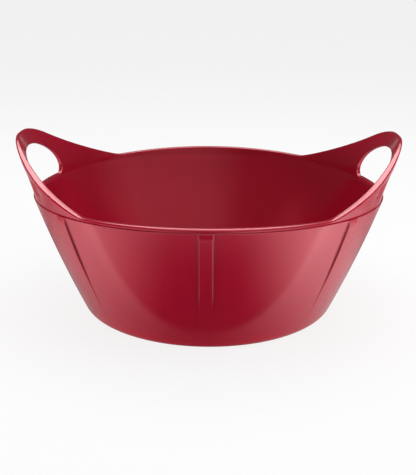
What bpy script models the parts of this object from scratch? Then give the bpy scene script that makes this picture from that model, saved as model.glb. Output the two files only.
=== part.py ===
# Shallow flexible tub with two raised handles, moulded in one soft plastic.
# The moulding is modelled as its zones: floor, wall, two low rims and two handles.
# Metres, +Z up, +X through the right handle, -Y towards the front low rim.

import math

import bmesh
import bpy
from mathutils import Vector

# Floor and foot
BASE_R = 0.1366              # outer radius of the flat foot
BASE_FILLET = 0.016          # outer radius between foot and wall
FOOT_IN_R = 0.120            # inner radius of the foot ring, where the floor panel begins
FLOOR_TOP = 0.005            # height of the inside floor
FLOOR_RISE = 0.0015          # how far the floor panel's underside stands off the ground
FLOOR_FILLET = 0.012         # inside radius between floor and wall

# Wall
WALL_LEAN = math.radians(25.0)   # outward lean of the wall at its foot
WALL_T = 0.004                   # wall thickness, measured level
LEDGE_T = 0.0070                 # thickness of the wall's top, at the ledge
LEDGE_H = 0.148                  # height of the ledge at the front and back
LEDGE_CROWN = 0.0023             # half of how much lower the ledge lies at the handles
LEDGE_ROUND = 0.0010             # rounding of the ledge's outer corner

# Raised bands down the wall
BAND_W = 0.0156              # width over the sloping sides
BAND_T = 0.0022              # how far a band stands out at its highest
BAND_FLANK = 0.0022          # width of a band's sloping side
BAND_TOP_FADE = 0.0095       # height under the ledge over which a band sinks into the wall
BAND_FOOT_H = 0.014          # height at which a band has faded into the wall
BAND_SIDE_ANGLE = math.radians(47.7)

# Mouth, low rims and handle outline
MOUTH_R = 0.200              # inner radius at the low rim
RIM_UP = 0.0049              # height of the low rim over the ledge, at the front and back
RIM_CROWN = 0.0045           # half of how much the low rim's curve falls over a quarter turn
MOUTH_LEAN = math.radians(11.4)
HANDLE_UP = 0.0556           # height of a handle's top over the low rim
HANDLE_FLARE = 0.0075        # extra outward sweep of the inside at a handle's top
HANDLE_FLAT = 0.0108         # half width of the level stretch on a handle's top
SHOULDER_R = 0.1179          # radius of a handle's shoulders, seen from the side
FLANK_LEAN = math.radians(26.7)  # slope of a handle's long flanks
BREAK_SOFTNESS = 0.0016      # rounding where a flank runs out into the low rim

# Lip and the recess under it
GRIP_T = 0.0038              # thickness at the very top of a handle
POCKET_T = 0.0044            # thickness in the pocket under a handle's flank
NECK_DEPTH = 0.0018          # depth of the groove between lip and ledge along the low rims
COVE = 0.0020                # radius in the foot of the groove and the pocket
LIP_LOW = 0.0022             # height of the lip along the low rims
LIP_TALL = 0.0092            # height of the lip along a handle's flanks
LIP_RISE_AT = math.radians(46.5)     # azimuth from which the lip grows tall
LIP_RISE_SPAN = math.radians(11.0)   # azimuth over which it does
LIP_STEP = 0.0009            # height of the lip's sloping underside
GRIP_HOLLOW = 0.0012         # depth of the shallow hollow on a handle's outside
EDGE_OUT = 0.0019            # rounding of the outer top edge
EDGE_IN = 0.0013             # rounding of the inner edges

# Hand hole, a rounded D seen from the side
HOLE_HALF_W = 0.0713
SPRING_UP = 0.0077           # height over the ledge at which the hole is widest
GRIP_TALL = 0.0166           # height of the grip over the hole
HOLE_CORNER = 0.012          # radius of its lower corners
COLLAR = 0.006               # width of the thick collar round the hole
COLLAR_FADE = 0.011          # width over which the collar runs out into the pocket

# Where a handle flexes
FLEX_HOLE_ANGLE = math.radians(5.0)   # place on the hole's arch where the flex line starts
POST_W = 0.027                        # width of the post from the hole to the flex line's top end

# Gap between neighbouring zones
GAP = 0.0003

# Shares of a low rim's end: up the hole's rounded corner, then to the start of the flex line
HOLE_SHARE = 0.22
FLEX_SHARE = 0.30

# Resolution
WALL_STEP = math.radians(5.0)
WALL_ROWS = 10
RIM_COLUMNS = 25
HANDLE_COLUMNS = 40

COLOUR = (0.36, 0.018, 0.040, 1.0)
ROUGHNESS = 0.30


def clear_scene():
    for old in list(bpy.data.objects):
        bpy.data.objects.remove(old, do_unlink=True)


def lerp(a, b, t):
    return a + (b - a) * t


def smooth(t):
    t = min(1.0, max(0.0, t))
    return t * t * (3.0 - 2.0 * t)


# Heights that follow from the sizes above

RIM_H = LEDGE_H + RIM_UP
HANDLE_H = RIM_H + HANDLE_UP
HOLE_TOP_H = HANDLE_H - GRIP_TALL
HOLE_SPRING_H = LEDGE_H + SPRING_UP
FLEX_EDGE_Y = HOLE_HALF_W + POST_W


# Radii of the skins at a height

WALL_FOOT_R = BASE_R + BASE_FILLET * math.cos(WALL_LEAN)
WALL_FOOT_H = BASE_FILLET * (1.0 - math.sin(WALL_LEAN))


def mouth_inner(z):
    up = z - RIM_H
    sweep = up / HANDLE_UP
    return MOUTH_R + math.tan(MOUTH_LEAN) * up + HANDLE_FLARE * sweep * sweep


LEDGE_R = mouth_inner(LEDGE_H) + LEDGE_T
SKIN_JOIN_H = LEDGE_H - 3.0 * LEDGE_CROWN


def wall_radius(z):
    # outer skin of the wall: it leaves the foot's fillet at WALL_LEAN and ends at LEDGE_R
    rise = LEDGE_H - WALL_FOOT_H
    bend = (LEDGE_R - WALL_FOOT_R - math.tan(WALL_LEAN) * rise) / rise ** 2
    up = z - WALL_FOOT_H
    return WALL_FOOT_R + math.tan(WALL_LEAN) * up + bend * up * up


def inner_radius(z):
    # the wall thickens towards the ledge, so that the inside stays smooth past it
    if z > SKIN_JOIN_H:
        return mouth_inner(z)
    s = max(0.0, (z - WALL_FOOT_H) / (LEDGE_H - WALL_FOOT_H))
    return wall_radius(z) - lerp(WALL_T, LEDGE_T, s ** 4)


def outer_cone(z):
    # the envelope on which the ledge, the lip and the handles' outsides lie
    top = mouth_inner(HANDLE_H) + GRIP_T
    return lerp(LEDGE_R, top, (z - LEDGE_H) / (HANDLE_H - LEDGE_H))


# Heights round the tub; azimuth 0 is the front, and it grows towards the right handle

def ledge_height(azimuth):
    return LEDGE_H - LEDGE_CROWN * (1.0 - math.cos(2.0 * azimuth))


def handle_outline(y):
    # height of a handle's top edge at a distance y from its middle, seen from the side
    y = max(0.0, abs(y) - HANDLE_FLAT)
    turn = SHOULDER_R * math.sin(FLANK_LEAN)
    if y <= turn:
        return HANDLE_H - SHOULDER_R + math.sqrt(SHOULDER_R ** 2 - y * y)
    drop = SHOULDER_R * (1.0 - math.cos(FLANK_LEAN))
    return HANDLE_H - drop - (y - turn) * math.tan(FLANK_LEAN)


def mouth_height(azimuth):
    low = RIM_H - RIM_CROWN * (1.0 - math.cos(2.0 * azimuth))
    z = low
    for _ in range(8):
        high = handle_outline(inner_radius(z) * math.cos(azimuth))
        z = 0.5 * (low + high + math.hypot(low - high, BREAK_SOFTNESS))
    return z


def azimuth_at(y, z):
    # azimuth, on the front right quarter, of the inner skin's point at -y and height z
    return math.acos(y / inner_radius(z))


def place(azimuth, radius, z):
    return Vector((radius * math.sin(azimuth), -radius * math.cos(azimuth), z))


# Solids from sections, each an outer and an inner run of as many points

def loft(sections, ring):
    mesh = bmesh.new()
    rows = []
    for outer, inner in sections:
        rows.append(([mesh.verts.new(p) for p in outer], [mesh.verts.new(p) for p in inner]))
    count = len(rows[0][0])
    pairs = list(zip(rows, rows[1:]))
    if ring:
        pairs.append((rows[-1], rows[0]))
    for (outer_a, inner_a), (outer_b, inner_b) in pairs:
        for k in range(count - 1):
            mesh.faces.new((outer_a[k], outer_b[k], outer_b[k + 1], outer_a[k + 1]))
            mesh.faces.new((inner_a[k], inner_a[k + 1], inner_b[k + 1], inner_b[k]))
        mesh.faces.new((outer_a[-1], outer_b[-1], inner_b[-1], inner_a[-1]))
        mesh.faces.new((outer_a[0], inner_a[0], inner_b[0], outer_b[0]))
    if not ring:
        for outer, inner in (rows[0], rows[-1]):
            for k in range(count - 1):
                mesh.faces.new((outer[k], outer[k + 1], inner[k + 1], inner[k]))
    bmesh.ops.recalc_face_normals(mesh, faces=mesh.faces)
    return mesh


def moulded_plastic(name):
    material = bpy.data.materials.new(name + "_plastic")
    material.use_nodes = True
    shader = material.node_tree.nodes["Principled BSDF"]
    shader.inputs["Base Color"].default_value = COLOUR
    shader.inputs["Roughness"].default_value = ROUGHNESS
    shader.inputs["Metallic"].default_value = 0.0
    material.diffuse_color = COLOUR
    return material


def add_object(name, mesh_data, location=(0.0, 0.0, 0.0), turn=0.0):
    piece = bpy.data.objects.new(name, mesh_data)
    piece.location = location
    piece.rotation_euler = (0.0, 0.0, turn)
    bpy.context.collection.objects.link(piece)
    return piece


def to_mesh(name, solid, sharp=35.0):
    data = bpy.data.meshes.new(name)
    solid.to_mesh(data)
    solid.free()
    data.shade_smooth()
    data.set_sharp_from_angle(angle=math.radians(sharp))
    data.materials.append(moulded_plastic(name))
    return data


# Wall with its foot, bands and ledge

def band_azimuths():
    side = BAND_SIDE_ANGLE
    return [0.0, side, math.pi - side, math.pi, math.pi + side, 2.0 * math.pi - side]


def wall_columns():
    # pairs of a column's azimuth and its distance from the band beside it, if there is one
    half = 0.5 * BAND_W
    offsets = [half - BAND_FLANK, half - 0.5 * BAND_FLANK, half, half + 0.5 * BAND_FLANK]
    offsets = [-d for d in reversed(offsets)] + [0.0] + offsets
    reach = offsets[-1] / LEDGE_R
    columns = []
    bands = band_azimuths()
    for here, following in zip(bands, bands[1:] + [2.0 * math.pi]):
        columns += [(here, d) for d in offsets]
        span = following - here - 2.0 * reach
        count = max(2, round(span / WALL_STEP))
        columns += [(here + reach + span * k / count, None) for k in range(1, count)]
    return columns


def band_relief(distance, z, ledge):
    # how far the wall stands out at a level distance from a band's middle line;
    # a band's sides keep their slope where it sinks into the wall, so they end in points
    rise = (z - BAND_FOOT_H) / (ledge - BAND_FOOT_H)
    fall = min(1.0, max(0.0, ledge - z) / BAND_TOP_FADE)
    flat = smooth(1.4 * rise) * math.sin(0.5 * math.pi * fall)
    side = (0.5 * BAND_W - abs(distance)) / BAND_FLANK
    return BAND_T * max(0.0, min(flat, side))


def wall_section(azimuth, offset):
    ledge = ledge_height(azimuth)
    outer = [place(azimuth, FOOT_IN_R, 0.0), place(azimuth, 0.5 * (FOOT_IN_R + BASE_R), 0.0)]
    for k in range(4):
        turn = (0.5 * math.pi - WALL_LEAN) * k / 4.0
        radius = BASE_R + BASE_FILLET * math.sin(turn)
        outer.append(place(azimuth, radius, BASE_FILLET * (1.0 - math.cos(turn))))
    for k in range(WALL_ROWS + 1):
        z = lerp(ledge - LEDGE_ROUND, WALL_FOOT_H, (1.0 - k / WALL_ROWS) ** 1.6)
        radius = wall_radius(z)
        here = azimuth
        if offset is not None:
            here += offset / radius
            radius += band_relief(offset, z, ledge)
        outer.append(place(here, radius, z))
    tip = azimuth + (offset or 0.0) / LEDGE_R
    tip_radius = math.hypot(outer[-1].x, outer[-1].y) - LEDGE_ROUND
    outer.append(place(tip, tip_radius, ledge))

    inner = [place(azimuth, FOOT_IN_R, FLOOR_TOP)]
    start = inner_radius(FLOOR_TOP + FLOOR_FILLET)
    centre_r = start - FLOOR_FILLET * math.cos(WALL_LEAN)
    centre_z = FLOOR_TOP + FLOOR_FILLET
    for k in range(5):
        turn = (0.5 * math.pi - WALL_LEAN) * k / 5.0
        radius = centre_r + FLOOR_FILLET * math.sin(turn)
        inner.append(place(azimuth, radius, centre_z - FLOOR_FILLET * math.cos(turn)))
    foot = centre_z - FLOOR_FILLET * math.sin(WALL_LEAN)
    rest = len(outer) - len(inner)
    for k in range(rest):
        z = lerp(foot, ledge, k / (rest - 1))
        here = azimuth + (offset or 0.0) / wall_radius(z)
        inner.append(place(here, inner_radius(z), z))
    return outer, inner


def add_wall():
    sections = [wall_section(azimuth, offset) for azimuth, offset in wall_columns()]
    return add_object("tub_wall", to_mesh("tub_wall", loft(sections, ring=True)))


# Floor panel inside the foot ring

def add_floor():
    solid = bmesh.new()
    radius = FOOT_IN_R - GAP
    depth = FLOOR_TOP - FLOOR_RISE
    bmesh.ops.create_cone(
        solid, cap_ends=True, segments=72, radius1=radius, radius2=radius, depth=depth)
    bmesh.ops.translate(solid, verts=solid.verts, vec=(0.0, 0.0, FLOOR_RISE + 0.5 * depth))
    bmesh.ops.recalc_face_normals(solid, faces=solid.faces)
    return add_object("floor_panel", to_mesh("floor_panel", solid))


# The flex line and the hand hole, as pairs of azimuth and height

def hole_arch(angle):
    y = HOLE_HALF_W * math.cos(angle)
    z = HOLE_SPRING_H + (HOLE_TOP_H - HOLE_SPRING_H) * math.sin(angle)
    return azimuth_at(y, z), z


def edge_point(y):
    z = handle_outline(y)
    return azimuth_at(y, z), z


def rim_end(v):
    # end of a low rim, from the ledge (v = 0) up the hole's side and the flex line (v = 1)
    corner_y = HOLE_HALF_W - HOLE_CORNER
    foot_z = ledge_height(0.5 * math.pi) + GAP
    foot = (azimuth_at(corner_y, foot_z), foot_z)
    spring = hole_arch(0.0)
    flex_low = hole_arch(FLEX_HOLE_ANGLE)
    flex_top = edge_point(FLEX_EDGE_Y)
    if v <= HOLE_SHARE:
        turn = 0.5 * math.pi * v / HOLE_SHARE
        y = corner_y + HOLE_CORNER * math.sin(turn)
        z = spring[1] - (spring[1] - foot[1]) * math.cos(turn)
        return azimuth_at(y, z), z
    if v <= FLEX_SHARE:
        return hole_arch(FLEX_HOLE_ANGLE * (v - HOLE_SHARE) / (FLEX_SHARE - HOLE_SHARE))
    t = (v - FLEX_SHARE) / (1.0 - FLEX_SHARE)
    return lerp(flex_low[0], flex_top[0], t), lerp(flex_low[1], flex_top[1], t)


def lip_share(azimuth):
    # 0 along the low rims, 1 along a handle's flanks
    return smooth((azimuth - LIP_RISE_AT) / LIP_RISE_SPAN)


def hole_distance(azimuth, z):
    # about how far a point lies from the hand hole's edge, seen from the side
    y = inner_radius(z) * math.cos(azimuth)
    up = z - HOLE_SPRING_H
    across, tall = HOLE_HALF_W, HOLE_TOP_H - HOLE_SPRING_H
    if up < 0.0:
        y = max(0.0, y - HOLE_HALF_W + HOLE_CORNER)
        across, tall = HOLE_CORNER, HOLE_SPRING_H - ledge_height(0.5 * math.pi)
    value = (y / across) ** 2 + (up / tall) ** 2
    slope = 2.0 * math.hypot(y / across ** 2, up / tall ** 2)
    return max(0.0, (value - 1.0) / max(slope, 1e-6))


def recess(azimuth, z, tall_lip):
    # depth of the groove or pocket under the lip, none at the ledge, less beside the hand hole
    pocket = outer_cone(z) - mouth_inner(z) - POCKET_T
    depth = lerp(NECK_DEPTH, max(GRIP_HOLLOW, pocket), tall_lip)
    near_hole = 1.0 - smooth((hole_distance(azimuth, z) - COLLAR) / COLLAR_FADE)
    depth = lerp(depth, min(depth, GRIP_HOLLOW), near_hole)
    up = min(1.0, max(0.0, z - ledge_height(azimuth) - GAP) / COVE)
    foot = min(LEDGE_ROUND, depth)
    return foot + (depth - foot) * math.sqrt(1.0 - (1.0 - up) ** 2)


def rim_column(u):
    # a column from the ledge to the mouth at a share u of the way from the middle to the end
    end_low, end_top = rim_end(0.0), rim_end(1.0)
    top = end_top[0] * u
    low = top + (end_low[0] - end_top[0]) * smooth((u - 0.5) / 0.5)
    low_z = ledge_height(low) + GAP
    top_z = mouth_height(top)
    bend = smooth((u - 0.80) / 0.20)

    def at(v):
        end = rim_end(v)
        straight = (lerp(end_low[0], end_top[0], v), lerp(end_low[1], end_top[1], v))
        azimuth = lerp(low, top, v) + bend * (end[0] - straight[0])
        return azimuth, lerp(low_z, top_z, v) + bend * (end[1] - straight[1])

    length = (place(top, inner_radius(top_z), top_z)
              - place(low, inner_radius(low_z), low_z)).length
    return at, length, top


def rim_section(u, at_hole):
    at, length, top = rim_column(u)
    lip = lerp(LIP_LOW, LIP_TALL, lip_share(top))
    lip_foot = 1.0 - (lip + LIP_STEP) / length
    low = min(FLEX_SHARE, 0.75 * lip_foot)
    shares = [low * k for k in (0.0, 0.30, 0.57, HOLE_SHARE / FLEX_SHARE, 1.0)]
    shares += [0.5 * (low + lip_foot), lip_foot, 1.0 - lip / length]
    shares += [1.0 - 0.5 * (lip + EDGE_OUT) / length]
    shares += [1.0 - EDGE_OUT / length, 1.0 - 0.35 * EDGE_OUT / length, 1.0]
    rounding = dict(zip(shares[-2:], (0.3, 1.0)))
    outer = []
    inner = []
    for v in shares:
        azimuth, z = at(v)
        side = EDGE_IN * at_hole * (1.0 - smooth((v - HOLE_SHARE) / (FLEX_SHARE - HOLE_SHARE)))
        cone = outer_cone(z)
        radius = cone - rounding.get(v, 0.0) * EDGE_OUT - side
        if v < 1.0 - (lip + 0.5 * LIP_STEP) / length:
            radius -= recess(azimuth, z, lip_share(top))
        outer.append(place(azimuth, radius, z))
        inner.append(place(azimuth, inner_radius(z) + rounding.get(v, 0.0) * EDGE_IN + side, z))
    return outer, inner


def mirror_section(section):
    flip = [[Vector((-p.x, p.y, p.z)) for p in run] for run in section]
    return flip[0], flip[1]


def rim_mesh():
    shares = [k / RIM_COLUMNS for k in range(RIM_COLUMNS)]
    half = [rim_section(u, 0.0) for u in shares]
    half.append(rim_section(1.0 - EDGE_IN / (MOUTH_R * rim_end(0.0)[0]), 0.0))
    half.append(rim_section(1.0, 1.0))
    sections = [mirror_section(s) for s in reversed(half[1:])] + half
    return to_mesh("low_rim", loft(sections, ring=False))


def add_rims():
    add_object("front_rim", rim_mesh())
    back = rim_mesh()
    add_object("back_rim", back, turn=math.pi)


# Handles: an arch between the hand hole and the top edge

def handle_section(t):
    # t runs from -1, at the front flex line, over the top of the arch to 1 at the back
    swing = lerp(0.5 * math.pi, FLEX_HOLE_ANGLE, abs(t))
    hole = hole_arch(swing)
    edge = edge_point(FLEX_EDGE_Y * abs(t))
    length = (place(edge[0], inner_radius(edge[1]), edge[1])
              - place(hole[0], inner_radius(hole[1]), hole[1])).length
    gap = GAP / MOUTH_R * smooth((abs(t) - 0.9) / 0.1) * 1.6
    outer_steps = [0.0, 0.4 * EDGE_IN, EDGE_IN, 0.5 * length - LIP_TALL * 0.5, length - LIP_TALL]
    outer_steps += [length - LIP_TALL + LIP_STEP, length - EDGE_OUT, length - 0.35 * EDGE_OUT]
    outer_steps += [length]
    outer_cuts = [1.0, 0.3, 0.0, 0.0, 0.0, 0.0, 0.0, 0.3, 1.0]
    hollows = [0.0, 0.0, 0.0, 1.0, 1.0, 0.0, 0.0, 0.0, 0.0]
    outer = []
    for down, cut, share in zip(outer_steps, outer_cuts, hollows):
        v = down / length
        azimuth, z = lerp(hole[0], edge[0], v) + gap, lerp(hole[1], edge[1], v)
        radius = outer_cone(z)
        if share > 0.0:
            radius -= recess(azimuth, z, 1.0) * smooth(abs(t) / 0.6)
        radius -= cut * (EDGE_OUT if v > 0.5 else EDGE_IN)
        outer.append(place(azimuth, radius, z))
    inner_steps = [0.0, 0.4 * EDGE_IN, EDGE_IN]
    inner_steps += [lerp(EDGE_IN, length - EDGE_IN, k / 4.0) for k in range(1, 5)]
    inner_steps += [length - 0.3 * EDGE_IN, length]
    inner_cuts = [1.0, 0.3, 0.0, 0.0, 0.0, 0.0, 0.0, 0.3, 1.0]
    inner = []
    for down, cut in zip(inner_steps, inner_cuts):
        v = down / length
        azimuth, z = lerp(hole[0], edge[0], v) + gap, lerp(hole[1], edge[1], v)
        inner.append(place(azimuth, inner_radius(z) + cut * EDGE_IN, z))
    if t > 0.0:
        outer = [Vector((p.x, -p.y, p.z)) for p in outer]
        inner = [Vector((p.x, -p.y, p.z)) for p in inner]
    return outer, inner


def flex_axis():
    # the axis runs level, along Y, through the upper inner end of both flex lines
    azimuth, z = edge_point(FLEX_EDGE_Y)
    return Vector((inner_radius(z) * math.sin(azimuth), 0.0, z))


def handle_mesh(name):
    axis = flex_axis()
    sections = [handle_section(-1.0 + 2.0 * k / HANDLE_COLUMNS) for k in range(HANDLE_COLUMNS + 1)]
    solid = loft(sections, ring=False)
    bmesh.ops.translate(solid, verts=solid.verts, vec=-axis)
    return to_mesh(name, solid)


def add_handles():
    axis = flex_axis()
    add_object("right_handle", handle_mesh("right_handle"), location=axis)
    left = Vector((-axis.x, 0.0, axis.z))
    add_object("left_handle", handle_mesh("left_handle"), location=left, turn=math.pi)


clear_scene()
add_floor()
add_wall()
add_rims()
add_handles()
print("flex axis at x and z:", round(flex_axis().x, 5), round(flex_axis().z, 5))
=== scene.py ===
import math

import bmesh
import bpy
from mathutils import Matrix, Vector


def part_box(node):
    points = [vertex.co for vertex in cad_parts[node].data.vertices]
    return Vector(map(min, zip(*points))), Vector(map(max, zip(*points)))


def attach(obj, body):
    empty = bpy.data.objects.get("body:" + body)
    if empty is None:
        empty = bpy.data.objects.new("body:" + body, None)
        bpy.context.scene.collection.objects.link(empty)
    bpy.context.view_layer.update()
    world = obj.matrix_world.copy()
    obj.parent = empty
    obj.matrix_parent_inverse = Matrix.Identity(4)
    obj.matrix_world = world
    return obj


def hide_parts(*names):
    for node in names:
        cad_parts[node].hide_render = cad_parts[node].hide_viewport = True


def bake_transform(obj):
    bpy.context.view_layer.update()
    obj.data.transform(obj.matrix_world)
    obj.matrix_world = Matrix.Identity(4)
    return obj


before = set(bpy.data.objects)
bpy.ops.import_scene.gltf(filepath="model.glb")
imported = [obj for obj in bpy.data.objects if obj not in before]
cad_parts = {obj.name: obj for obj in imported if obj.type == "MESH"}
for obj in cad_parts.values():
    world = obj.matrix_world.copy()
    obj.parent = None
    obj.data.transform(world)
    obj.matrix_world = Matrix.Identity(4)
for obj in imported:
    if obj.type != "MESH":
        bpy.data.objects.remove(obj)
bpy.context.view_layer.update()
print("frame loaded")


# Measures of the moulding, in metres, set against the frame

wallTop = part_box("tub_wall")[1].z
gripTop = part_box("right_handle")[1].z

tub = {
    "footRadius": 0.1366,
    "footFillet": 0.016,
    "footInside": 0.120,        # inner radius of the ring it stands on
    "footCorner": 0.0026,       # rounding of that ring's inner edge
    "floorUnder": 0.0015,       # the floor stands off the ground by this
    "floorTop": 0.005,
    "floorFillet": 0.012,
    "wallLean": math.radians(25.0),
    "wallThickness": 0.004,
    "thickening": 4,            # power with which the wall thickens towards the ledge
    "insideRows": 44,
    "insideRings": (0.115, 0.09, 0.06, 0.03, 0.008),
    "underRings": (0.03, 0.06, 0.09),
    "ledgeThickness": 0.0070,
    "ledgeHeight": wallTop,
    "ledgeCrown": 0.0023,
    "ledgeRound": 0.0010,
    "ledgeReach": 0.020,        # height over which the wall turns to the ledge's own line
    "gateRadius": 0.007,        # round mark of the mould's inlet, under the floor
    "gateDepth": 0.0007,
    "gateMiddle": (0.0025, 0.0052),
    "gateStart": 0.2,           # share of its depth at the first of those radii
    "gateSlope": 0.0006,
}

mouth = {
    "radius": 0.200,
    "rimHeight": wallTop + 0.0049,
    "rimCrown": 0.0045,
    "lean": math.radians(11.4),
    "handleTop": gripTop,
    "handleFlare": 0.0075,
    "flatHalf": 0.0108,
    "shoulderRadius": 0.1179,
    "flankLean": math.radians(26.7),
    "breakSoftness": 0.0016,
}

lip = {
    "gripThickness": 0.0038,
    "pocketThickness": 0.0044,
    "neckDepth": 0.0018,        # depth of the groove between lip and ledge
    "cove": 0.0020,             # radius in the groove's foot
    "low": 0.0022,
    "tall": 0.0092,
    "riseStart": math.radians(46.5),
    "riseSpan": math.radians(11.0),
    "step": 0.0009,
    "hollow": 0.0012,
    "collar": 0.006,            # width of the thick collar beside the hole
    "collarFade": 0.011,
    "archShare": 0.6,           # share of the arch over which the pocket runs out
    "outerRound": 0.0019,
    "lowRound": 0.0034,         # rounding along the low rims
    "innerRound": 0.0013,
}

hole = {
    "halfWidth": 0.0713,
    "springHeight": wallTop + 0.0077,
    "topHeight": gripTop - 0.0166,
    "corner": 0.012,
    "edgeRound": 0.0013,
    "roundFade": 0.010,         # the ledge's inner edge is rounded from here on beside the rim
    "flexAngle": math.radians(5.0),
    "flexEdge": 0.0983,
}


def mix(a, b, t):
    return a + (b - a) * t


def ease(t):
    t = min(1.0, max(0.0, t))
    return t * t * (3.0 - 2.0 * t)


def roundOff(distance, radius):
    # how far a skin draws back at a distance from an edge rounded with that radius
    if distance >= radius:
        return 0.0
    across = 1.0 - max(0.0, distance) / radius
    return radius * (1.0 - math.sqrt(1.0 - across * across))


# Skins: radius at a height

def mouthRadius(z):
    up = z - mouth["rimHeight"]
    sweep = up / (mouth["handleTop"] - mouth["rimHeight"])
    return mouth["radius"] + math.tan(mouth["lean"]) * up + mouth["handleFlare"] * sweep * sweep


ledgeRadius = mouthRadius(tub["ledgeHeight"]) + tub["ledgeThickness"]
skinJoin = tub["ledgeHeight"] - 3.0 * tub["ledgeCrown"]
wallFootRadius = tub["footRadius"] + tub["footFillet"] * math.cos(tub["wallLean"])
wallFootHeight = tub["footFillet"] * (1.0 - math.sin(tub["wallLean"]))
wallRise = tub["ledgeHeight"] - wallFootHeight
wallBend = (ledgeRadius - wallFootRadius - math.tan(tub["wallLean"]) * wallRise) / wallRise ** 2


def wallRadius(z):
    up = z - wallFootHeight
    return wallFootRadius + math.tan(tub["wallLean"]) * up + wallBend * up * up


def innerRadius(z):
    if z > skinJoin:
        return mouthRadius(z)
    share = max(0.0, (z - wallFootHeight) / wallRise)
    share **= tub["thickening"]
    return wallRadius(z) - mix(tub["wallThickness"], tub["ledgeThickness"], share)


def coneRadius(z):
    # the envelope on which the ledge's corner, the lip and the handles' outsides lie
    top = mouthRadius(mouth["handleTop"]) + lip["gripThickness"]
    share = (z - tub["ledgeHeight"]) / (mouth["handleTop"] - tub["ledgeHeight"])
    return mix(ledgeRadius, top, share)


# Heights round the tub: azimuth 0 is the front, a quarter turn is the right handle

def ledgeHeight(azimuth):
    return tub["ledgeHeight"] - tub["ledgeCrown"] * (1.0 - math.cos(2.0 * azimuth))


def handleOutline(y):
    y = max(0.0, abs(y) - mouth["flatHalf"])
    radius, lean = mouth["shoulderRadius"], mouth["flankLean"]
    turn = radius * math.sin(lean)
    if y <= turn:
        return mouth["handleTop"] - radius + math.sqrt(radius * radius - y * y)
    return mouth["handleTop"] - radius * (1.0 - math.cos(lean)) - (y - turn) * math.tan(lean)


def mouthHeight(azimuth):
    low = mouth["rimHeight"] - mouth["rimCrown"] * (1.0 - math.cos(2.0 * azimuth))
    z = low
    for _ in range(8):
        high = handleOutline(innerRadius(z) * math.cos(azimuth))
        z = 0.5 * (low + high + math.hypot(low - high, mouth["breakSoftness"]))
    return z


def azimuthAt(y, z):
    return math.acos(y / innerRadius(z))


def place(azimuth, radius, z):
    return Vector((radius * math.sin(azimuth), -radius * math.cos(azimuth), z))


# Tub body: one lathed skin, underside to inside floor

def bandColumns():
    # columns of the lathe as (azimuth, offset): those beside a band keep a level distance to it
    half = bands["width"] * 0.5
    count = bands["edgeColumns"]
    fine = [half + bands["flank"] * mix(*bands["edgeReach"], k / count) for k in range(count + 1)]
    edge = [0.25 * half, 0.5 * half] + fine + [half + bands["flank"]]
    offsets = [-d for d in reversed(edge)] + [0.0] + edge
    side = bands["sideAngle"]
    turns = [0.0, side, math.pi - side, math.pi, math.pi + side, 2.0 * math.pi - side]
    reach = offsets[-1] / ledgeRadius
    columns = []
    for here, following in zip(turns, turns[1:] + [2.0 * math.pi]):
        columns += [(here, d) for d in offsets]
        gap = following - here - 2.0 * reach
        count = round(gap / bands["columnStep"])
        columns += [(here + reach + gap * k / count, 0.0) for k in range(1, count)]
    return columns


bands = {
    "width": 0.0156,
    "height": 0.0022,
    "flank": 0.0015,
    "soften": 0.35,             # softness of the edges, as a share of the height
    "topFade": 0.0095,
    "footHeight": 0.014,
    "riseHeight": 0.096,        # height over which a band grows to its full relief
    "sideAngle": math.radians(47.7),
    # where painted shade darkens the crease at the foot of the flanks
    "creaseShadeStart": (-0.35, 0.05),   # across the flank, as shares of its width
    "creaseShadeEnd": (0.85, 0.35),
    "rows": 72,
    "rowCrowd": 1.35,           # the rows lie closer together towards the ledge
    "edgeColumns": 12,
    "edgeReach": (-1.25, 0.35), # fine columns, from the band's edge, in flank widths
    "columnStep": math.radians(1.2),
    "evenRadius": 0.15,         # within this radius the columns keep one angle, so none cross
}


def arc(count, start, end):
    return [mix(start, end, k / count) for k in range(count + 1)]


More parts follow.
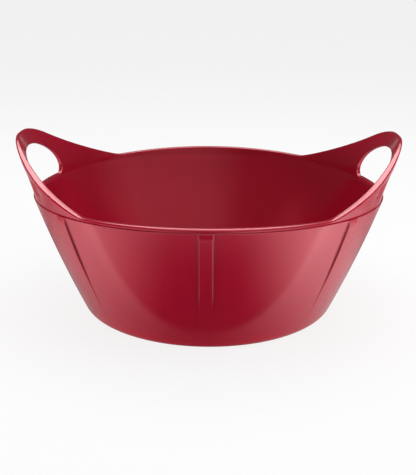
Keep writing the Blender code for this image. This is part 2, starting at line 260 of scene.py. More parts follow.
def bodyColumn(azimuth, offset):
    # outer run from the middle of the underside to the ledge, inner run back to the middle
    ledge = ledgeHeight(azimuth)
    tilt = tub["wallLean"]
    outer = []

    def add(run, radius, z):
        run.append(place(azimuth + offset / max(radius, bands["evenRadius"]), radius, z))

    under = tub["floorUnder"]
    gateTop = under + tub["gateDepth"]
    ringEdge = tub["footInside"] - tub["footCorner"]
    add(outer, tub["gateMiddle"][0], under + tub["gateDepth"] * tub["gateStart"])
    add(outer, tub["gateMiddle"][1], gateTop)
    add(outer, tub["gateRadius"], gateTop)
    for radius in (tub["gateRadius"] + tub["gateSlope"], *tub["underRings"], ringEdge):
        add(outer, radius, under)
    for turn in arc(5, 0.0, 0.5 * math.pi)[1:]:
        add(outer, ringEdge + tub["footCorner"] * math.sin(turn), under * math.cos(turn))
    add(outer, 0.5 * (tub["footInside"] + tub["footRadius"]), 0.0)
    for turn in arc(12, 0.0, 0.5 * math.pi - tilt):
        radius = tub["footRadius"] + tub["footFillet"] * math.sin(turn)
        add(outer, radius, tub["footFillet"] * (1.0 - math.cos(turn)))
    turned = coneRadius(ledge) - wallRadius(ledge)

    def wallSkin(z):
        return wallRadius(z) + turned * ease(1.0 - (ledge - z) / tub["ledgeReach"])

    for k in range(1, bands["rows"] + 1):
        share = (1.0 - k / bands["rows"]) ** bands["rowCrowd"]
        z = mix(ledge - tub["ledgeRound"], wallFootHeight, share)
        add(outer, wallSkin(z), z)
    for turn in arc(5, 0.0, 0.5 * math.pi)[1:]:
        z = ledge - tub["ledgeRound"] * (1.0 - math.sin(turn))
        add(outer, wallSkin(z) - tub["ledgeRound"] * (1.0 - math.cos(turn)), z)

    # where the rim stands on it the ledge's inner corner stays square
    clear = abs(math.sin(azimuth)) - math.sin(holeFoot[0])
    corner = hole["edgeRound"] * ease(clear / hole["roundFade"])
    topRadius = innerRadius(ledge)
    inner = []
    add(inner, topRadius + 0.5 * (outer[-1].xy.length - topRadius), ledge)
    for turn in arc(5, 0.0, 0.5 * math.pi)[:-1]:
        back, down = corner * (1.0 - math.sin(turn)), corner * (1.0 - math.cos(turn))
        add(inner, topRadius + back, ledge - down)
    centreHeight = tub["floorTop"] + tub["floorFillet"]
    centreRadius = innerRadius(centreHeight) - tub["floorFillet"] * math.cos(tilt)
    foot = centreHeight - tub["floorFillet"] * math.sin(tilt)
    for k in range(tub["insideRows"] + 1):
        z = mix(ledge - corner, foot, k / tub["insideRows"])
        add(inner, innerRadius(z), z)
    for turn in arc(10, 0.5 * math.pi - tilt, 0.0)[1:]:
        radius = centreRadius + tub["floorFillet"] * math.sin(turn)
        add(inner, radius, centreHeight - tub["floorFillet"] * math.cos(turn))
    for radius in tub["insideRings"]:
        add(inner, radius, tub["floorTop"])
    return outer, inner


def buildBodyShell():
    shell = bmesh.new()
    skin = shell.verts.layers.float.new("outerSkin")
    rows = []
    for azimuth, offset in bandColumns():
        outer, inner = bodyColumn(azimuth, offset)
        run = [shell.verts.new(p) for p in outer + inner]
        for vert in run[:len(outer)]:
            vert[skin] = 1.0
        rows.append(run)
    bottom = shell.verts.new((0.0, 0.0, tub["floorUnder"]))
    top = shell.verts.new((0.0, 0.0, tub["floorTop"]))
    for run, following in zip(rows, rows[1:] + rows[:1]):
        for k in range(len(run) - 1):
            shell.faces.new((run[k], following[k], following[k + 1], run[k + 1]))
        shell.faces.new((bottom, following[0], run[0]))
        shell.faces.new((top, run[-1], following[-1]))
    bmesh.ops.recalc_face_normals(shell, faces=shell.faces)
    return shell


def meshObject(name, shell):
    data = bpy.data.meshes.new(name)
    shell.to_mesh(data)
    shell.free()
    data.shade_smooth()
    made = bpy.data.objects.new(name, data)
    bpy.context.scene.collection.objects.link(made)
    return made


# Maths for node trees

def treeMaths(tree):
    def feed(socket, value):
        if isinstance(value, bpy.types.NodeSocket):
            tree.links.new(value, socket)
        else:
            socket.default_value = value

    def maths(operation, *values):
        node = tree.nodes.new("ShaderNodeMath")
        node.operation = operation
        for socket, value in zip(node.inputs, values):
            feed(socket, value)
        return node.outputs[0]

    def easeBetween(value, low, high, start=0.0, end=1.0):
        node = tree.nodes.new("ShaderNodeMapRange")
        node.interpolation_type = "SMOOTHSTEP"
        for socket, part in zip(node.inputs[:5], (value, low, high, start, end)):
            feed(socket, part)
        return node.outputs["Result"]

    return maths, easeBetween


# Raised bands: a node tree lifts them out of the wall, in front, at the back and at four sides

def bandTree(material):
    tree = bpy.data.node_groups.new("raisedBands", "GeometryNodeTree")
    sockets = tree.interface
    sockets.new_socket("Geometry", in_out="INPUT", socket_type="NodeSocketGeometry")
    for name in ("Width", "Height", "Flank", "Soften", "Top Fade", "Foot Height", "Rise Height",
                 "Side Angle", "Ledge Height", "Ledge Crown"):
        sockets.new_socket(name, in_out="INPUT", socket_type="NodeSocketFloat")
    sockets.new_socket("Geometry", in_out="OUTPUT", socket_type="NodeSocketGeometry")
    group = tree.nodes.new("NodeGroupInput").outputs
    links = tree.links
    maths, easeBetween = treeMaths(tree)

    position = tree.nodes.new("GeometryNodeInputPosition").outputs[0]
    split = tree.nodes.new("ShaderNodeSeparateXYZ")
    links.new(position, split.inputs[0])
    x, y, z = split.outputs

    # the azimuth, folded into the front right quarter
    turn = maths("ABSOLUTE", maths("ARCTAN2", x, maths("MULTIPLY", y, -1.0)))
    folded = maths("MINIMUM", turn, maths("SUBTRACT", math.pi, turn))
    radius = maths("SQRT", maths("ADD", maths("MULTIPLY", x, x), maths("MULTIPLY", y, y)))
    toSide = maths("ABSOLUTE", maths("SUBTRACT", folded, group["Side Angle"]))
    distance = maths("MULTIPLY", maths("MINIMUM", folded, toSide), radius)

    fall = maths("SUBTRACT", 1.0, maths("COSINE", maths("MULTIPLY", turn, 2.0)))
    ledge = maths("SUBTRACT", group["Ledge Height"], maths("MULTIPLY", group["Ledge Crown"], fall))
    below = maths("MINIMUM", maths("DIVIDE", maths("SUBTRACT", ledge, z), group["Top Fade"]), 1.0)
    clear = maths("SINE", maths("MULTIPLY", maths("MAXIMUM", below, 0.0), 0.5 * math.pi))
    # the sides keep their slope where the band sinks in under the ledge, so that it ends in points
    fromEdge = maths("SUBTRACT", maths("MULTIPLY", group["Width"], 0.5), distance)
    side = maths("DIVIDE", fromEdge, group["Flank"])
    soften = maths("MULTIPLY", group["Soften"], clear)
    face = maths("SMOOTH_MIN", clear, side, soften)
    face = maths("MAXIMUM", maths("SMOOTH_MAX", face, 0.0, soften), 0.0)
    fullHeight = maths("ADD", group["Foot Height"], group["Rise Height"])
    rise = easeBetween(z, group["Foot Height"], fullHeight)

    outer = tree.nodes.new("GeometryNodeInputNamedAttribute")
    outer.data_type = "FLOAT"
    outer.inputs["Name"].default_value = "outerSkin"
    relief = maths("MULTIPLY", maths("MULTIPLY", group["Height"], face), rise)
    relief = maths("MULTIPLY", relief, outer.outputs["Attribute"])
    ratio = maths("DIVIDE", relief, maths("MAXIMUM", radius, 0.01))
    offset = tree.nodes.new("ShaderNodeCombineXYZ")
    links.new(maths("MULTIPLY", x, ratio), offset.inputs[0])
    links.new(maths("MULTIPLY", y, ratio), offset.inputs[1])

    # painted shade: the crease along the foot of the flanks is marked so that the material darkens
    # it where shade falls
    creaseShade = maths("MULTIPLY", easeBetween(side, *bands["creaseShadeStart"]),
                   easeBetween(side, *bands["creaseShadeEnd"]))
    creaseShade = maths("MULTIPLY", maths("MULTIPLY", creaseShade, rise),
                   maths("MULTIPLY", clear, outer.outputs["Attribute"]))
    mark = tree.nodes.new("GeometryNodeStoreNamedAttribute")
    mark.data_type = "FLOAT"
    mark.inputs["Name"].default_value = "creaseShade"
    links.new(group["Geometry"], mark.inputs["Geometry"])
    links.new(creaseShade, mark.inputs["Value"])

    lift = tree.nodes.new("GeometryNodeSetPosition")
    links.new(mark.outputs[0], lift.inputs["Geometry"])
    links.new(offset.outputs[0], lift.inputs["Offset"])
    paint = tree.nodes.new("GeometryNodeSetMaterial")
    paint.inputs["Material"].default_value = material
    real = tree.nodes.new("GeometryNodeRealizeInstances")
    links.new(lift.outputs[0], real.inputs[0])
    links.new(real.outputs[0], paint.inputs["Geometry"])
    out = tree.nodes.new("NodeGroupOutput")
    links.new(paint.outputs[0], out.inputs[0])
    return tree


def setInput(modifier, name, value):
    for item in modifier.node_group.interface.items_tree:
        if item.item_type == "SOCKET" and item.in_out == "INPUT" and item.name == name:
            modifier[item.identifier] = value


def raiseBands(shellObject, material):
    modifier = shellObject.modifiers.new("bands", "NODES")
    modifier.node_group = bandTree(material)
    values = {
        "Width": bands["width"], "Height": bands["height"], "Flank": bands["flank"],
        "Soften": bands["soften"], "Top Fade": bands["topFade"],
        "Foot Height": bands["footHeight"], "Rise Height": bands["riseHeight"],
        "Side Angle": bands["sideAngle"],
        "Ledge Height": tub["ledgeHeight"], "Ledge Crown": tub["ledgeCrown"],
    }
    for name, value in values.items():
        setInput(modifier, name, value)
    graph = bpy.context.evaluated_depsgraph_get()
    plain = bpy.data.meshes.new_from_object(shellObject.evaluated_get(graph))
    shellObject.modifiers.clear()
    shellObject.data = plain
    plain.shade_smooth()
    return shellObject


# Rim and handle: one skin from the ledge up, with the hand hole in it

def holeDistance(y, z):
    # distance outside the hole's edge, in side view
    y = abs(y)
    if z >= hole["springHeight"]:
        a, b = hole["halfWidth"], hole["topHeight"] - hole["springHeight"]
        up = z - hole["springHeight"]
    else:
        b = hole["springHeight"] - ledgeHeight(0.5 * math.pi)
        a, up = hole["corner"], hole["springHeight"] - z
        y = max(0.0, y - hole["halfWidth"] + hole["corner"])
    value = (y / a) ** 2 + (up / b) ** 2
    slope = 2.0 * math.hypot(y / (a * a), up / (b * b))
    return (value - 1.0) / max(slope, 1e-6)


def lipShare(azimuth):
    # 0 along the low rims, 1 along a handle's flanks
    return ease((azimuth - lip["riseStart"]) / lip["riseSpan"])


def recess(azimuth, z, share, fromHole):
    # depth of the groove or pocket under the lip, less in the collar beside the hole
    pocket = coneRadius(z) - mouthRadius(z) - lip["pocketThickness"]
    depth = mix(lip["neckDepth"], max(lip["hollow"], pocket), share)
    pastCollar = ease((fromHole - lip["collar"]) / lip["collarFade"])
    depth = mix(min(depth, lip["hollow"]), depth, pastCollar)
    up = min(1.0, max(0.0, z - ledgeHeight(azimuth)) / lip["cove"])
    foot = min(tub["ledgeRound"], depth)
    return foot + (depth - foot) * math.sqrt(1.0 - (1.0 - up) ** 2)


def skinPoints(azimuth, z, fromTop, share, fromHole, pocketShare=1.0):
    # outer and inner point of the skin at one place
    lipHeight = mix(lip["low"], lip["tall"], share)
    under = ease((fromTop - lipHeight) / lip["step"]) * pocketShare
    outer = coneRadius(z) - under * recess(azimuth, z, share, fromHole)
    outer -= roundOff(fromTop, mix(lip["lowRound"], lip["outerRound"], share))
    outer -= roundOff(fromHole, hole["edgeRound"])
    inner = innerRadius(z) + roundOff(fromTop, lip["innerRound"])
    inner += roundOff(fromHole, hole["edgeRound"])
    return place(azimuth, outer, z), place(azimuth, inner, z)


def holeArch(angle):
    y = hole["halfWidth"] * math.cos(angle)
    z = hole["springHeight"] + (hole["topHeight"] - hole["springHeight"]) * math.sin(angle)
    return azimuthAt(y, z), z


def edgePoint(y):
    z = handleOutline(y)
    return azimuthAt(y, z), z


flexLow = holeArch(hole["flexAngle"])
flexTop = edgePoint(hole["flexEdge"])
holeFoot = (azimuthAt(hole["halfWidth"] - hole["corner"], ledgeHeight(0.5 * math.pi)),
            ledgeHeight(0.5 * math.pi))
holeShare, flexShare = 0.22, 0.30


def rimEnd(v):
    # the rim's end: round the hole's lower corner, up its side, then along the flex line
    if v <= holeShare:
        turn = 0.5 * math.pi * v / holeShare
        y = hole["halfWidth"] - hole["corner"] * (1.0 - math.sin(turn))
        z = hole["springHeight"] - (hole["springHeight"] - holeFoot[1]) * math.cos(turn)
        return azimuthAt(y, z), z
    if v <= flexShare:
        return holeArch(hole["flexAngle"] * (v - holeShare) / (flexShare - holeShare))
    t = (v - flexShare) / (1.0 - flexShare)
    return mix(flexLow[0], flexTop[0], t), mix(flexLow[1], flexTop[1], t)


rimGrid = {
    "columns": 150, "endColumns": 9, "archColumns": 190,
    "lowRows": 16, "edgeRows": 8, "webRows": 18, "stepRows": 7, "faceRows": 8, "topRows": 9,
    "pastRound": 1.02,          # the close rows reach just past a rounded edge
    "browLimit": 0.9,           # most of the lip's height that they may take
    "nearLimit": 0.4,           # most of the web's height that they may take
    "lowLimit": 0.6,            # most of the web's height for the rows under the flex line
    "lowCrowd": 1.5,
    "spreadStart": 0.5,         # share of the rim at which its foot spreads to the hole
    "bendStart": 0.80,          # share at which its columns turn into the rim's end
    "footSlack": 1e-6,
    "lastColumn": 0.999,
}


def upperShares(length, share):
    # places from the hole's edge (0) to the mouth's edge (1), close together at the rounded edges
    lipHeight = mix(lip["low"], lip["tall"], share)
    near = hole["edgeRound"] * rimGrid["pastRound"] / length
    foot = 1.0 - (lipHeight + lip["step"]) / length
    face = 1.0 - lipHeight / length
    rounded = mix(lip["lowRound"], lip["outerRound"], share) * rimGrid["pastRound"]
    brow = 1.0 - min(rounded, rimGrid["browLimit"] * lipHeight) / length
    near = min(near, rimGrid["nearLimit"] * foot)
    shares = [near * (1.0 - math.cos(0.5 * math.pi * k / rimGrid["edgeRows"]))
              for k in range(rimGrid["edgeRows"])]
    shares += [mix(near, foot, k / rimGrid["webRows"]) for k in range(rimGrid["webRows"])]
    shares += [mix(foot, face, k / rimGrid["stepRows"]) for k in range(rimGrid["stepRows"])]
    shares += [mix(face, brow, k / rimGrid["faceRows"]) for k in range(rimGrid["faceRows"])]
    shares += [mix(brow, 1.0, math.sin(0.5 * math.pi * k / rimGrid["topRows"]))
               for k in range(rimGrid["topRows"] + 1)]
    return shares


def span(a, b):
    return (place(a[0], innerRadius(a[1]), a[1]) - place(b[0], innerRadius(b[1]), b[1])).length


flexLength = span(flexLow, flexTop)


def rimColumn(u):
    top = flexTop[0] * u
    spread = ease((u - rimGrid["spreadStart"]) / (1.0 - rimGrid["spreadStart"]))
    low = top + (holeFoot[0] - flexTop[0]) * spread
    topZ, lowZ = mouthHeight(top), ledgeHeight(low)
    bend = ease((u - rimGrid["bendStart"]) / (1.0 - rimGrid["bendStart"]))
    length = span((low, lowZ), (top, topZ))
    share = lipShare(top)
    lipHeight = mix(lip["low"], lip["tall"], share)
    web = 1.0 - (lipHeight + lip["step"]) / length
    lowShare = min(flexShare, rimGrid["lowLimit"] * web)
    shares = [lowShare * (k / rimGrid["lowRows"]) ** rimGrid["lowCrowd"]
              for k in range(rimGrid["lowRows"])]
    upper = upperShares(mix(length * (1.0 - lowShare), flexLength, bend), share)
    shares += [mix(lowShare, 1.0, w) for w in upper]
    outer, inner = [], []
    for v in shares:
        end = rimEnd(v)
        azimuth = mix(low, top, v)
        z = mix(lowZ, topZ, v)
        azimuth += bend * (end[0] - mix(holeFoot[0], flexTop[0], v))
        z += bend * (end[1] - mix(holeFoot[1], flexTop[1], v))
        fromTop = (1.0 - v) * length
        if v > flexShare:
            fromTop = mix(fromTop, (1.0 - v) / (1.0 - flexShare) * flexLength, bend)
        fromHole = holeDistance(innerRadius(z) * math.cos(azimuth), z)
        if z - ledgeHeight(azimuth) < rimGrid["footSlack"] and u < rimGrid["lastColumn"]:
            fromHole = max(fromHole, 1e-9)
        pair = skinPoints(azimuth, z, fromTop, share, fromHole)
        outer.append(pair[0])
        inner.append(pair[1])
    return outer, inner


def archColumn(t):
    # one section across the handle; t is 0 at the top of the arch and 1 at the flex line
    swing = mix(0.5 * math.pi, hole["flexAngle"], t)
    low, top = holeArch(swing), edgePoint(hole["flexEdge"] * t)
    length = span(low, top)
    outer, inner = [], []
    for w in upperShares(length, 1.0):
        azimuth, z = mix(low[0], top[0], w), mix(low[1], top[1], w)
        fromHole = holeDistance(innerRadius(z) * math.cos(azimuth), z)
        pair = skinPoints(azimuth, z, (1.0 - w) * length, 1.0, fromHole, ease(t / lip["archShare"]))
        outer.append(pair[0])
        inner.append(pair[1])
    return outer, inner


def mirrored(column, axis):
    scale = Vector((-1.0, 1.0, 1.0)) if axis == "x" else Vector((1.0, -1.0, 1.0))
    return [[p * scale for p in run] for run in column]


def buildSide(right):
    # front rim, handle and back rim of one side, joined along the flex lines
    grid = rimGrid
    shares = [k / grid["columns"] for k in range(grid["columns"])]
    tight = 1.0 / grid["columns"]
    shares += [1.0 - tight + tight * math.sin(0.5 * math.pi * k / grid["endColumns"])
               for k in range(1, grid["endColumns"] + 1)]
    front = [rimColumn(u) for u in shares]
    half = [archColumn(1.0 - k / grid["archColumns"]) for k in range(1, grid["archColumns"] + 1)]
    arch = half + [mirrored(c, "y") for c in reversed(half[:-1])]
    back = [mirrored(c, "y") for c in reversed(front)]
    if not right:
        front, arch, back = ([mirrored(c, "x") for c in part] for part in (front, arch, back))
    shell = bmesh.new()

    def fresh(columns):
        return [[[shell.verts.new(p) for p in run] for run in column] for column in columns]

    front, arch, back = fresh(front), fresh(arch), fresh(back)
    skip = grid["lowRows"]
    seam = [[run[skip:] for run in front[-1]], [run[skip:] for run in back[0]]]
    arch = [seam[0]] + arch + [seam[1]]
    for part in (front, arch, back):
        for one, two in zip(part, part[1:]):
            (outA, inA), (outB, inB) = one, two
            for k in range(len(outA) - 1):
                shell.faces.new((outA[k], outB[k], outB[k + 1], outA[k + 1]))
                shell.faces.new((inA[k], inA[k + 1], inB[k + 1], inB[k]))
            shell.faces.new((outA[-1], outB[-1], inB[-1], inA[-1]))
            shell.faces.new((outA[0], inA[0], inB[0], outB[0]))
    for outer, inner in (front[0], back[-1]):
        for k in range(len(outer) - 1):
            shell.faces.new((outer[k], outer[k + 1], inner[k + 1], inner[k]))
    for outer, inner in (front[-1], back[0]):
        for k in range(skip):
            shell.faces.new((outer[k], outer[k + 1], inner[k + 1], inner[k]))
    bmesh.ops.recalc_face_normals(shell, faces=shell.faces)
    return shell


seams = {
    "sharp": math.radians(40.0),
    "heightSlack": 1e-5,
    "skinSlack": 2e-5,
    "level": 0.9,               # steeper normals than this belong to a level face
    "slopeStep": 1e-4,
    "middleSlack": 1e-6,
    "middleSide": 0.5,
    "middleHeight": 0.1,
}


def steadyNormals(target):
    # one skin's slope on both sides of each cut, so that no cut shows in the gloss
    mesh = target.data
    step = seams["slopeStep"]
    mesh.set_sharp_from_angle(angle=seams["sharp"])
    plain = [Vector(n.vector) for n in mesh.corner_normals]
    normals = [Vector()] * len(plain)
    for polygon in mesh.polygons:
        for loop in polygon.loop_indices:
            point = mesh.vertices[mesh.loops[loop].vertex_index].co
            normal = plain[loop]
            ledge = ledgeHeight(math.atan2(point.x, -point.y))
            radius = point.xy.length
            atLedge = abs(point.z - ledge) < seams["heightSlack"]
            atInside = abs(radius - innerRadius(point.z)) < seams["skinSlack"]
            inMiddle = abs(point.x) < seams["middleSlack"] and point.z > seams["middleHeight"]
            if atLedge and atInside and abs(normal.z) < seams["level"]:
                slope = (innerRadius(point.z + step) - innerRadius(point.z - step)) / (2.0 * step)
                normals[loop] = Vector((-point.x / radius, -point.y / radius, slope)).normalized()
            elif inMiddle and abs(normal.x) < seams["middleSide"]:
                normals[loop] = Vector((0.0, normal.y, normal.z)).normalized()
    mesh.normals_split_custom_set(normals)


# Plastic: one soft, glossy crimson, with flow marks, faint scuffs, paler specks and painted shade
# along the bands' creases

plastic = {
    "deep": (0.330, 0.0034, 0.0200),
    "fresh": (0.370, 0.0044, 0.0230),
    "worn": (0.44, 0.030, 0.055),
    # painted shade: colour and share with which the crease at the foot of the bands' flanks is
    # darkened
    "creaseShade": (0.060, 0.0010, 0.0050),
    "creaseShadeShare": 0.9,
    "roughness": 0.15,
    "ior": 1.7,
    "specular": 0.7,
    "tint": (1.0, 0.45, 0.48),  # the gloss itself is pinkish
    # each noise: scale, detail and, where it is drawn out, stretch
    "cloud": (9.0, 3.0),
    "cloudRange": (0.35, 0.65),
    "speck": (900.0, 2.0),
    "speckRange": (0.70, 0.78),
    "speckShare": 0.25,
    "flow": (14.0, 4.0, (1.0, 1.0, 0.25)),
    "flowRange": (0.3, 0.7),
    "flowDepth": 0.02,
    "scuff": (160.0, 6.0, (1.0, 1.0, 4.0)),
    "scuffRange": (0.62, 0.75),
    "scuffDepth": 0.03,
    "wave": (26.0, 2.0),
    "waveBump": (0.035, 0.002), # strength and distance
    "grain": (1400.0, 2.0),
    "grainBump": (0.04, 0.0002),
}


def plasticMaterial(name):
    material = bpy.data.materials.new(name)
    material.use_nodes = True
    nodes, links = material.node_tree.nodes, material.node_tree.links
    shader = nodes["Principled BSDF"]
    shader.inputs["IOR"].default_value = plastic["ior"]
    shader.inputs["Specular IOR Level"].default_value = plastic["specular"]
    shader.inputs["Specular Tint"].default_value = (*plastic["tint"], 1.0)
    where = nodes.new("ShaderNodeTexCoord").outputs["Object"]

    def noise(scale, detail, stretch=(1.0, 1.0, 1.0)):
        mapping = nodes.new("ShaderNodeMapping")
        mapping.inputs["Scale"].default_value = stretch
        links.new(where, mapping.inputs["Vector"])
        node = nodes.new("ShaderNodeTexNoise")
        node.inputs["Scale"].default_value = scale
        node.inputs["Detail"].default_value = detail
        links.new(mapping.outputs[0], node.inputs["Vector"])
        return node.outputs["Fac"]

    def ranged(value, low, high, start, end):
        node = nodes.new("ShaderNodeMapRange")
        links.new(value, node.inputs["Value"])
        for socket, number in zip(node.inputs[1:5], (low, high, start, end)):
            socket.default_value = number
        return node.outputs["Result"]

    maths = treeMaths(material.node_tree)[0]

    def blended(factor, a, b):
        node = nodes.new("ShaderNodeMix")
        node.data_type = "RGBA"
        links.new(factor, node.inputs["Factor"])
        for socket, value in zip((node.inputs["A"], node.inputs["B"]), (a, b)):
            if isinstance(value, tuple):
                socket.default_value = (*value, 1.0)
            else:
                links.new(value, socket)
        return node.outputs["Result"]

    def bump(height, strength, distance):
        node = nodes.new("ShaderNodeBump")
        node.inputs["Strength"].default_value = strength
        node.inputs["Distance"].default_value = distance
        links.new(height, node.inputs["Height"])
        return node

    cloud = ranged(noise(*plastic["cloud"]), *plastic["cloudRange"], 0.0, 1.0)
    speck = ranged(noise(*plastic["speck"]), *plastic["speckRange"], 0.0, plastic["speckShare"])
    tone = blended(cloud, plastic["deep"], plastic["fresh"])
    tone = blended(speck, tone, plastic["worn"])
    # painted shade: the colour darkens along the crease at the foot of the bands' flanks
    creaseShade = nodes.new("ShaderNodeAttribute")
    creaseShade.attribute_name = "creaseShade"
    darker = maths("MULTIPLY", creaseShade.outputs["Fac"], plastic["creaseShadeShare"])
    tone = blended(darker, tone, plastic["creaseShade"])
    links.new(tone, shader.inputs["Base Color"])

    scuff = ranged(noise(*plastic["scuff"]), *plastic["scuffRange"], 0.0, plastic["scuffDepth"])
    low, high = (plastic["roughness"] + sign * plastic["flowDepth"] for sign in (-1.0, 1.0))
    rough = ranged(noise(*plastic["flow"]), *plastic["flowRange"], low, high)
    links.new(maths("ADD", rough, scuff), shader.inputs["Roughness"])

    wave = bump(noise(*plastic["wave"]), *plastic["waveBump"])
    grain = bump(noise(*plastic["grain"]), *plastic["grainBump"])
    links.new(wave.outputs[0], grain.inputs["Normal"])
    links.new(grain.outputs[0], shader.inputs["Normal"])
    return material


# Studio: pale floor, soft lights and the camera

camera = {
    "place": (0.01047, -0.96898, 0.38358),
    "yaw": -0.01102,
    "pitch": 0.30324,
    "roll": 0.00647,
    "focalPixels": 835.30,      # focal length in pixels of the 416 by 475 picture
    "longSide": 475.0,
    "sensor": 36.0,
    "clipStart": 0.05,
}


def addCamera():
    yaw, pitch, roll = camera["yaw"], camera["pitch"], camera["roll"]
    level = math.cos(pitch)
    ahead = Vector((math.sin(yaw) * level, math.cos(yaw) * level, -math.sin(pitch)))
    side = Vector((math.cos(yaw), -math.sin(yaw), 0.0))
    up = side.cross(ahead)
    right = side * math.cos(roll) + up * math.sin(roll)
    top = up * math.cos(roll) - side * math.sin(roll)
    lens = bpy.data.cameras.new("camera")
    lens.sensor_width = camera["sensor"]
    lens.lens = camera["sensor"] * camera["focalPixels"] / camera["longSide"]
    lens.clip_start = camera["clipStart"]
    stand = bpy.data.objects.new("camera", lens)
    turn = Matrix((right, top, -ahead)).transposed().to_4x4()
    stand.matrix_world = Matrix.Translation(camera["place"]) @ turn
    bpy.context.scene.collection.objects.link(stand)
    bpy.context.scene.camera = stand


def areaLight(name, spot, target, size, watts):
    lamp = bpy.data.lights.new(name, "AREA")
    lamp.shape = "RECTANGLE"
    lamp.size, lamp.size_y = size
    lamp.energy = watts
    stand = bpy.data.objects.new(name, lamp)
    stand.location = spot
    aim = Vector(target) - Vector(spot)
    stand.rotation_euler = aim.to_track_quat("-Z", "Y").to_euler()
    stand.visible_camera = False
    bpy.context.scene.collection.objects.link(stand)
    return stand


def panelWatts(size, radiance):
    # power of a flat panel that shines at that radiance
    return radiance * size[0] * size[1] * math.pi


studio = {
    "worldDiffuse": 0.22,
    "worldGloss": 0.08,
    "glossAim": (0.52, -0.72, 0.46),    # the sky is paler in the gloss towards this side
    "glossReach": (0.45, 0.95),
    "glossShine": 0.40,
    "floor": 0.85,
    "floorRough": 0.9,
    "floorRadius": 30.0,
    "floorSides": 96,
    "floorGlow": 0.85,          # share of the floor's own white in the picture
    "swap": (-0.03, 0.03),      # over this stretch of x the left's shine turns to the right's
    "sheetFront": -0.165,       # where the lit sheet under the tub ends
    "sheetSoft": 0.006,
    "sheetShine": (2.3, 3.6),   # on the left and the right, fading towards the middle
    "sheetReach": (0.0, 0.36),  # distances from the middle at which it starts and is full
    "sheetBase": 0.12,
    "sheetFade": 0.070,         # depth over which it halves
    "sheetBack": (0.0, 0.30),   # depths between which it sinks to a share
    "sheetBackShare": 0.3,
    "frontShade": (1.15, 2.0),  # the same in front of the sheet
    "frontReach": (0.05, 0.275),
    "frontBase": 0.02,
    "footGlow": 0.7,            # round the foot, in diffuse light only
    "footReach": (0.20, 0.15),
    "lightShare": 0.3,          # share of the sheet's shine in diffuse light
    "shineFar": 1.0,            # distance to the side at which the shine is halved
    "frontShine": 0.9,          # pale again, well in front of the tub
    "frontStart": (-0.24, -0.46),
    "darkStart": (-0.34, -0.45),    # and dark again far off in the middle
    "darkAcross": (0.60, 0.30),
    "backShine": 0.45,          # dimly at the back, to both sides
    "backStart": (0.08, 0.35),
    "backAcross": (0.20, 0.40),
}

# each lamp: place, aim, size, radiance, and whether it shows in diffuse light and in the gloss
lamps = {
    "topSoftbox": ((0.0, 0.25, 1.65), (0.0, 0.0, 0.1), (1.9, 1.9), 2.4, True, False),
    "rimSoftbox": ((0.0, 0.1, 1.6), (0.0, 0.1, 0.0), (1.8, 3.2), 3.0, False, True),
    "rimStrip": ((0.0, 0.45, 1.55), (0.0, 0.1, 0.15), (1.6, 1.0), 3.0, False, True),
    "leftLow": ((-1.2, -0.40, 0.07), (0.0, 0.0, 0.06), (0.9, 0.14), 22.0, True, False),
    "rightLow": ((1.25, -0.35, 0.07), (0.0, 0.0, 0.06), (0.9, 0.14), 15.0, True, False),
    "rightHigh": ((1.0, -0.35, 0.80), (-0.1, 0.05, 0.1), (0.7, 0.5), 3.6, True, False),
}


def addWorld():
    world = bpy.data.worlds.new("studio")
    world.use_nodes = True
    nodes, links = world.node_tree.nodes, world.node_tree.links
    back = nodes["Background"]
    back.inputs["Color"].default_value = (1.0, 1.0, 1.0, 1.0)
    ray = nodes.new("ShaderNodeLightPath")
    gloss = nodes.new("ShaderNodeMix")
    gloss.inputs["A"].default_value = studio["worldDiffuse"]
    aim = nodes.new("ShaderNodeVectorMath")
    aim.operation = "DOT_PRODUCT"
    links.new(nodes.new("ShaderNodeTexCoord").outputs["Generated"], aim.inputs[0])
    aim.inputs[1].default_value = studio["glossAim"]
    easeBetween = treeMaths(world.node_tree)[1]
    sky = easeBetween(aim.outputs["Value"], *studio["glossReach"], studio["worldGloss"],
                      studio["glossShine"])
    links.new(sky, gloss.inputs["B"])
    links.new(ray.outputs["Is Glossy Ray"], gloss.inputs["Factor"])
    seen = nodes.new("ShaderNodeMix")
    seen.inputs["B"].default_value = 1.0
    links.new(gloss.outputs["Result"], seen.inputs["A"])
    links.new(ray.outputs["Is Camera Ray"], seen.inputs["Factor"])
    links.new(seen.outputs["Result"], back.inputs["Strength"])
    bpy.context.scene.world = world


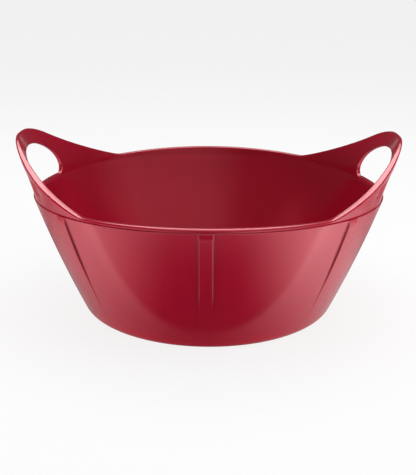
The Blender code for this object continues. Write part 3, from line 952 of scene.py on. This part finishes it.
def floorMaterial():
    # pale to the camera with the tub's soft shadow; in the gloss it shines at both sides of the tub
    material = bpy.data.materials.new("paleFloor")
    material.use_nodes = True
    nodes, links = material.node_tree.nodes, material.node_tree.links
    shader = nodes["Principled BSDF"]
    shader.inputs["Base Color"].default_value = (studio["floor"],) * 3 + (1.0,)
    shader.inputs["Roughness"].default_value = studio["floorRough"]
    shader.inputs["Specular IOR Level"].default_value = 0.0
    ray = nodes.new("ShaderNodeLightPath")
    split = nodes.new("ShaderNodeSeparateXYZ")
    links.new(nodes.new("ShaderNodeTexCoord").outputs["Object"], split.inputs[0])
    x, y = split.outputs["X"], split.outputs["Y"]

    maths, easeBetween = treeMaths(material.node_tree)
    across = maths("ABSOLUTE", x)

    def toTheSides(reach, shine, base):
        fade = easeBetween(across, *reach)
        return maths("ADD", maths("MULTIPLY", fade, easeBetween(x, *studio["swap"], *shine)), base)

    edge, soft = studio["sheetFront"], studio["sheetSoft"]
    beyond = toTheSides(studio["sheetReach"], studio["sheetShine"], studio["sheetBase"])
    depth = maths("MAXIMUM", maths("SUBTRACT", y, edge), 0.0)
    beyond = maths("DIVIDE", beyond, maths("ADD", 1.0, maths("DIVIDE", depth, studio["sheetFade"])))
    sink = easeBetween(y, *studio["sheetBack"], 1.0, studio["sheetBackShare"])
    beyond = maths("MULTIPLY", beyond, sink)
    before = toTheSides(studio["frontReach"], studio["frontShade"], studio["frontBase"])
    sheet = easeBetween(y, edge - soft, edge + soft)
    glow = maths("ADD", maths("MULTIPLY", before, maths("SUBTRACT", 1.0, sheet)),
                 maths("MULTIPLY", beyond, sheet))
    fromBelow = maths("MULTIPLY", glow, studio["lightShare"])
    far = maths("DIVIDE", across, studio["shineFar"])
    glow = maths("DIVIDE", glow, maths("ADD", 1.0, maths("MULTIPLY", far, far)))

    # in front it is pale from the tub's shade on, and dark far off in the middle
    front = easeBetween(y, *studio["frontStart"], 0.0, studio["frontShine"])
    middle = maths("MULTIPLY", easeBetween(y, *studio["darkStart"]),
                   easeBetween(across, *studio["darkAcross"]))
    front = maths("MULTIPLY", front, maths("SUBTRACT", 1.0, middle))
    behind = maths("MULTIPLY", easeBetween(y, *studio["backStart"]),
                   easeBetween(across, *studio["backAcross"], 0.0, studio["backShine"]))
    glow = maths("ADD", glow, maths("ADD", front, behind))

    def emission(strength):
        node = nodes.new("ShaderNodeEmission")
        if isinstance(strength, float):
            node.inputs["Strength"].default_value = strength
        else:
            links.new(strength, node.inputs["Strength"])
        return node.outputs[0]

    def blended(factor, a, b):
        node = nodes.new("ShaderNodeMixShader")
        for socket, value in zip(node.inputs, (factor, a, b)):
            if isinstance(value, float):
                socket.default_value = value
            else:
                links.new(value, socket)
        return node.outputs[0]

    # the sheet also lights the tub from below
    ring = maths("SQRT", maths("ADD", maths("MULTIPLY", x, x), maths("MULTIPLY", y, y)))
    foot = easeBetween(ring, *studio["footReach"], 0.0, studio["footGlow"])
    fromBelow = maths("ADD", fromBelow, foot)
    lit = nodes.new("ShaderNodeAddShader")
    links.new(shader.outputs[0], lit.inputs[0])
    links.new(emission(maths("MULTIPLY", ray.outputs["Is Diffuse Ray"], fromBelow)), lit.inputs[1])
    plain = lit.outputs[0]
    seen = blended(studio["floorGlow"], plain, emission(1.0))
    output = nodes["Material Output"].inputs["Surface"]
    inPicture = blended(ray.outputs["Is Camera Ray"], plain, seen)
    links.new(blended(ray.outputs["Is Glossy Ray"], inPicture, emission(glow)), output)
    return material


def addStudio():
    addWorld()
    shell = bmesh.new()
    bmesh.ops.create_circle(shell, cap_ends=True, segments=studio["floorSides"],
                            radius=studio["floorRadius"])
    floor = meshObject("studioFloor", shell)
    floor.data.materials.append(floorMaterial())
    for name, (spot, aim, size, radiance, inDiffuse, inGloss) in lamps.items():
        lamp = areaLight(name, spot, aim, size, panelWatts(size, radiance))
        lamp.visible_diffuse, lamp.visible_glossy = inDiffuse, inGloss


def buildTub():
    material = plasticMaterial("crimsonPlastic")
    body = raiseBands(meshObject("tubBody", buildBodyShell()), material)
    steadyNormals(body)
    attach(body, "tub")
    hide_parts("tub_wall", "floor_panel")
    print("tub body made:", len(body.data.polygons), "faces")

    for name, grip, handle, sign in (("rimAndHandleRight", "right_grip", "right_handle", 1.0),
                                     ("rimAndHandleLeft", "left_grip", "left_handle", -1.0)):
        side = meshObject(name, buildSide(sign > 0.0))
        side.data.materials.append(material)
        steadyNormals(side)
        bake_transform(side)
        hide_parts("front_rim", "back_rim", handle)
        print(name, "made:", len(side.data.polygons), "faces")


addCamera()
addStudio()
buildTub()
bpy.context.scene.view_settings.view_transform = "Standard"
